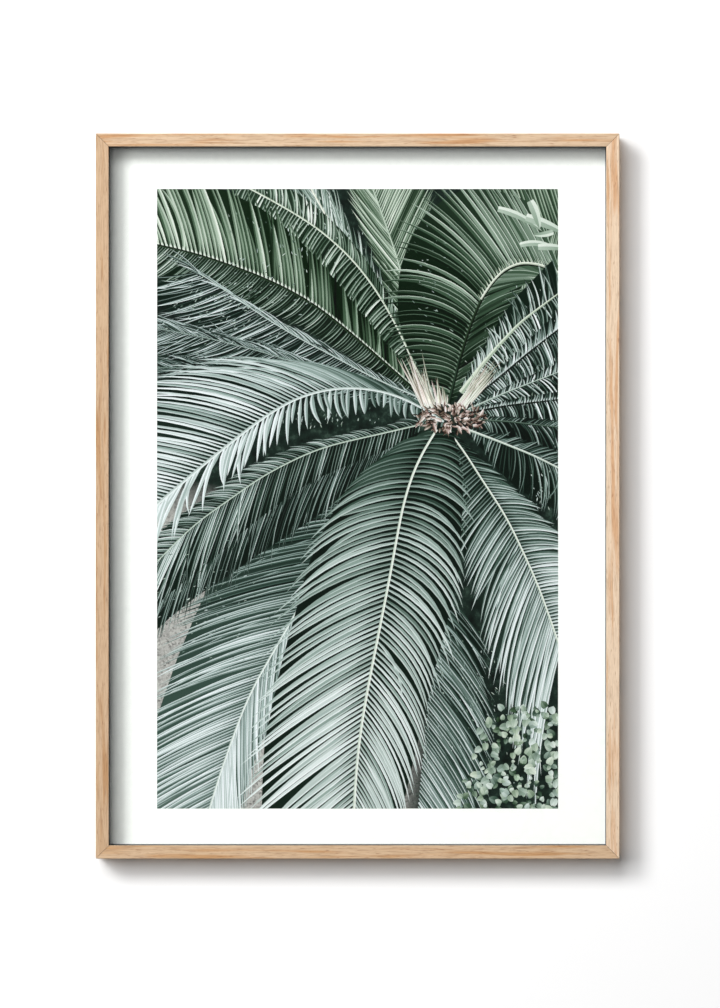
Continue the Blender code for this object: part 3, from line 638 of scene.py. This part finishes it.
add(ink, "OutputMaterial", {}, {"Surface": shader.outputs[0]})
palm_mesh.materials.append(ink)
palm.visible_shadow = False  # ink is far too thin to cast one
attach(palm, "root")

# ------------------------------------------------------------------ boards
# Behind the print lies a filler of grey pulp board, and the back is closed by brown hardboard: wood fibres
# pressed hot with their own resin, so it is mottled in patches of about 20 mm and flecked with darker
# fibres of 2 to 3 mm.


def pressed_board(name, dark, middle, light, fleck, roughness):
    """Board pressed from pulp or fibres: soft mottling, and flecks that lie every way."""
    board = new_material(name)
    place = add(board, "TexCoord").outputs["Object"]
    mottle = add(board, "TexNoise", {}, {"Vector": place, "Scale": 45, "Detail": 5, "Roughness": 0.65})
    mottle_tone = add(board, "ValToRGB", {}, {"Fac": mottle.outputs["Fac"]})
    base = set_stops(mottle_tone, (0.3, dark), (0.5, middle), (0.7, light))
    flecks = add(board, "TexNoise", {}, {
        "Vector": place, "Scale": 420, "Detail": 2, "Roughness": 0.5, "Distortion": 1.4})
    fleck_tone = add(board, "ValToRGB", {}, {"Fac": flecks.outputs["Fac"]})
    fleck_mask = set_stops(fleck_tone, (0.34, fleck), (0.46, "#FFFFFF"))
    surface = add(board, "Mix", {"data_type": "RGBA", "blend_type": "MULTIPLY"}, {
        "Factor": 0.8, 6: base, 7: fleck_mask})
    bump = add(board, "Bump", {}, {"Strength": 0.3, "Distance": 0.0002, "Height": flecks.outputs["Fac"]})
    shader = add(board, "BsdfPrincipled", {}, {
        "Base Color": surface.outputs[2], "Roughness": roughness, "Normal": bump.outputs[0], "IOR": 1.5})
    add(board, "OutputMaterial", {}, {"Surface": shader.outputs[0]})
    return board


dress("filler_board", pressed_board("grey_pulp_board", "#8F8A82", "#A39E96", "#B3AEA6", "#8C867D", 0.9))
dress("backing_board", pressed_board("brown_hardboard", "#6E4E33", "#80603F", "#93724E", "#7A5E48", 0.6))

# ------------------------------------------------------------------ metal fittings
# The wedges, turn buttons and screws are pressed steel with zinc plating, bluish and a little dull. The
# hangers, their rivets and rings are nickel plated, smoother and a little warmer.


def plated_steel(name, dull, bright, low_roughness, high_roughness):
    """Plated steel: a fine cloud in its colour and polish, at the 2 mm scale of a tumbled finish."""
    metal = new_material(name)
    place = add(metal, "TexCoord").outputs["Object"]
    cloud = add(metal, "TexNoise", {}, {"Vector": place, "Scale": 500, "Detail": 3, "Roughness": 0.6})
    cloud_tone = add(metal, "ValToRGB", {}, {"Fac": cloud.outputs["Fac"]})
    plating = set_stops(cloud_tone, (0.35, dull), (0.65, bright))
    polish = add(metal, "MapRange", {}, {
        "Value": cloud.outputs["Fac"], "From Min": 0.3, "From Max": 0.7,
        "To Min": high_roughness, "To Max": low_roughness})
    shader = add(metal, "BsdfPrincipled", {}, {
        "Base Color": plating, "Metallic": 1.0, "Roughness": polish.outputs[0]})
    add(metal, "OutputMaterial", {}, {"Surface": shader.outputs[0]})
    return metal


zinc = plated_steel("zinc_plated_steel", "#A9AEB2", "#C6CACC", 0.32, 0.46)
nickel = plated_steel("nickel_plated_steel", "#B9B4AA", "#D2CDC2", 0.20, 0.32)
for corner in ("top_left", "top_right", "bottom_left", "bottom_right"):
    dress("corner_wedge_" + corner, zinc)
for spot in ("top", "bottom", "left_upper", "left_lower", "right_upper", "right_lower"):
    dress("turn_button_" + spot, zinc)
    dress("button_screw_" + spot, zinc)
for side in ("left", "right"):
    dress("hanger_plate_" + side, nickel)
    dress(f"rivet_{side}_upper", nickel)
    dress(f"rivet_{side}_lower", nickel)
    dress("hanging_ring_" + side, nickel)

# ------------------------------------------------------------------ wall pads
# Two stick-on bumpers of moulded dark rubber, pressed on at the bottom corners. Matt, with a fine grain
# that is drawn 1 mm wide so that it shows.

rubber = new_material("moulded_rubber")
place = add(rubber, "TexCoord").outputs["Object"]
skin = add(rubber, "TexNoise", {}, {"Vector": place, "Scale": 900, "Detail": 2, "Roughness": 0.5})
skin_tone = add(rubber, "ValToRGB", {}, {"Fac": skin.outputs["Fac"]})
dark = set_stops(skin_tone, (0.3, "#232325"), (0.7, "#303033"))
grain = add(rubber, "Bump", {}, {"Strength": 0.2, "Distance": 0.0001, "Height": skin.outputs["Fac"]})
shader = add(rubber, "BsdfPrincipled", {}, {
    "Base Color": dark, "Roughness": 0.8, "Normal": grain.outputs[0], "IOR": 1.52})
add(rubber, "OutputMaterial", {}, {"Surface": shader.outputs[0]})
dress("wall_pad_left", rubber)
dress("wall_pad_right", rubber)

# ------------------------------------------------------------------ wall and floor
# The wall that the frame hangs on, painted matt white, and a pale floor below it. Both are there for the
# object to be seen against, so neither shadows it, and no mirror shows them.

WALL_Y = high.y
WALL_SIZE, WALL_LIFT = 8, 2.2
FLOOR_SIZE, FLOOR_DROP = 12, 1.5


def one_sided(name, tint):
    """Matt paint that is seen from its front only, so that the object can be looked at from behind."""
    paint = new_material(name)
    side = add(paint, "NewGeometry").outputs["Backfacing"]
    matt = add(paint, "BsdfDiffuse", {}, {"Color": colour(tint)})
    clear = add(paint, "BsdfTransparent")
    seen = add(paint, "MixShader", {}, {0: side, 1: matt.outputs[0], 2: clear.outputs[0]})
    add(paint, "OutputMaterial", {}, {"Surface": seen.outputs[0]})
    return paint


bpy.ops.mesh.primitive_plane_add(size=WALL_SIZE, location=(centre.x, WALL_Y, centre.z + WALL_LIFT),
                                 rotation=(math.radians(90), 0, 0))
wall = bpy.context.object
wall.name = "wall"
wall.data.materials.append(one_sided("white_wall_paint", "#E7E7E7"))
wall.visible_shadow = False
wall.visible_glossy = False

bpy.ops.mesh.primitive_plane_add(size=FLOOR_SIZE, location=(centre.x, WALL_Y, centre.z - FLOOR_DROP))
floor = bpy.context.object
floor.name = "floor"
floor.data.materials.append(one_sided("pale_floor", "#E9E8E6"))
floor.visible_shadow = False
floor.visible_diffuse = False
floor.visible_glossy = False

# ------------------------------------------------------------------ light and camera
# A very large window-like light from high on the left, which gives the soft shadows beside and below the
# rails, a broad one from behind, and a long lens square to the frame.


def softbox(name, place, aim, size, watts):
    """A rectangular studio light at place that shines towards aim."""
    lamp = bpy.data.lights.new(name, "AREA")
    lamp.shape = "RECTANGLE"
    lamp.size, lamp.size_y = size
    lamp.energy = watts
    holder = bpy.data.objects.new(name, lamp)
    holder.location = place
    holder.rotation_euler = (Vector(aim) - Vector(place)).to_track_quat("-Z", "Y").to_euler()
    holder.visible_camera = False
    holder.visible_glossy = False
    bpy.context.scene.collection.objects.link(holder)


# The main light is four boxes edge to edge in two columns and two rows, and each one farther out is stronger
KEY_DISTANCE = 6.0
KEY_SIZE = (3.84, 3.16)
KEY_WATTS = 140
FARTHER = 2.6
for column in range(2):
    for row in range(2):
        place = (centre.x - KEY_SIZE[0] * (column + 0.5), WALL_Y - KEY_DISTANCE,
                 centre.z + KEY_SIZE[1] * (row + 0.5))
        softbox(f"key_light_{column}_{row}", place, (place[0], WALL_Y, place[2]), KEY_SIZE,
                KEY_WATTS * FARTHER ** column * FARTHER ** row)
softbox("back_light", (0.9, 2.4, 1.2), centre, (1.6, 1.6), 85)

# A high lamp for the floor alone, so that it stays pale on both sides of the wall
floor_only = bpy.data.collections.new("floor_only")
floor_only.objects.link(floor)
lamp = bpy.data.lights.new("floor_light", "SUN")
lamp.energy = 2
lamp.angle = math.radians(25)
holder = bpy.data.objects.new("floor_light", lamp)
holder.light_linking.receiver_collection = floor_only
bpy.context.scene.collection.objects.link(holder)

# The room around: faint from in front, bright from behind, where the plated fittings mirror it, and a pale
# backdrop where the view passes the wall
ROOM_FRONT, ROOM_BACK, BACKDROP = 0.10, 0.85, 0.85
world = bpy.data.worlds.new("studio")
world.use_nodes = True
bpy.context.scene.world = world
world.node_tree.nodes.clear()
seen = add(world, "LightPath").outputs["Is Camera Ray"]
way = add(world, "SeparateXYZ", {}, {0: add(world, "TexCoord").outputs["Generated"]})
around = add(world, "MapRange", {}, {
    "Value": way.outputs["Y"], "From Max": 0.7, "To Min": ROOM_FRONT, "To Max": ROOM_BACK})
strength = add(world, "MapRange", {}, {"Value": seen, "To Min": around.outputs[0], "To Max": BACKDROP})
backdrop = add(world, "Background", {}, {"Color": colour("#FFFFFF"), "Strength": strength.outputs[0]})
add(world, "OutputWorld", {}, {"Surface": backdrop.outputs[0]})

bpy.context.scene.view_settings.view_transform = "Standard"

VIEW_HEIGHT = 1.0005  # metres of the frame's front plane in view, from top to bottom
AIM_RIGHT, AIM_UP = 0.0024, -0.0079  # from the frame's middle
LENS = 150  # mm
SENSOR = 36  # mm
lens = bpy.data.cameras.new("camera")
lens.lens = LENS
lens.sensor_width = SENSOR
lens.clip_end = 50
camera = bpy.data.objects.new("camera", lens)
camera.location = (centre.x + AIM_RIGHT, low.y - VIEW_HEIGHT * LENS / SENSOR, centre.z + AIM_UP)
camera.rotation_euler = (math.radians(90), 0, 0)
bpy.context.scene.collection.objects.link(camera)
bpy.context.scene.camera = camera
